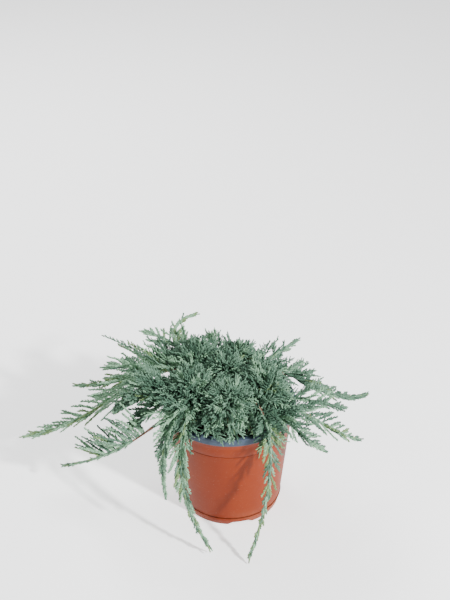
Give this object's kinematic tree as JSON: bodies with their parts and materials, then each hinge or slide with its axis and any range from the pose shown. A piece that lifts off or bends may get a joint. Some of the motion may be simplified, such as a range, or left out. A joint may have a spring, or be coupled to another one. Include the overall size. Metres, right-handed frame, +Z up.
{
  "type": "potted creeping juniper",
  "caption": "Low evergreen shrub with a leafy mound and long shoots spilling over a round tapered nursery pot with a rolled rim.",
  "frame": {"origin": "centre of the pot's flat underside", "axes": "+Z up along the pot's axis, the side seen in the picture faces -Y, the longest shoot points to -X"},
  "size_m": [0.463, 0.2797, 0.2253],
  "materials": {
    "pot_plastic": "satin terracotta plastic with a grey-blue rim",
    "growing_medium": "dark moist peat and bark crumbs",
    "bark": "thin red-brown bark, matt",
    "foliage": "blue-green scale leaves with a matt bloom"
  },
  "bodies": {
    "root": {"pot": "pot_plastic", "growing_medium": "growing_medium", "trunk": "bark", "bough_left_long": "bark", "foliage_left_long": "foliage", "bough_left_second": "bark", "foliage_left_second": "foliage", "bough_left_upper": "bark", "foliage_left_upper": "foliage", "bough_left_low": "bark", "foliage_left_low": "foliage", "bough_left_front": "bark", "foliage_left_front": "foliage", "bough_left_front_low": "bark", "foliage_left_front_low": "foliage", "bough_left_rear_low": "bark", "foliage_left_rear_low": "foliage", "bough_back_left_fan": "bark", "foliage_back_left_fan": "foliage", "bough_back_left_arc": "bark", "foliage_back_left_arc": "foliage", "bough_back_left_low": "bark", "foliage_back_left_low": "foliage", "bough_back_mid": "bark", "foliage_back_mid": "foliage", "bough_back_hang": "bark", "foliage_back_hang": "foliage", "bough_back_right_low": "bark", "foliage_back_right_low": "foliage", "bough_back_right": "bark", "foliage_back_right": "foliage", "bough_right_rear_low": "bark", "foliage_right_rear_low": "foliage", "bough_right_upper": "bark", "foliage_right_upper": "foliage", "bough_right_mid": "bark", "foliage_right_mid": "foliage", "bough_right_low": "bark", "foliage_right_low": "foliage", "bough_right_lowest": "bark", "foliage_right_lowest": "foliage", "bough_hang_right": "bark", "foliage_hang_right": "foliage", "bough_hang_left": "bark", "foliage_hang_left": "foliage", "bough_hang_left_outer": "bark", "foliage_hang_left_outer": "foliage", "bough_front_right": "bark", "foliage_front_right": "foliage", "bough_front_short": "bark", "foliage_front_short": "foliage", "bough_front_left": "bark", "foliage_front_left": "foliage", "foliage_mound_top": "foliage", "foliage_mound_front": "foliage", "foliage_mound_front_right": "foliage", "foliage_mound_right": "foliage", "foliage_mound_back": "foliage", "foliage_mound_left": "foliage", "foliage_mound_front_left": "foliage"}
  },
  "joints": []
}
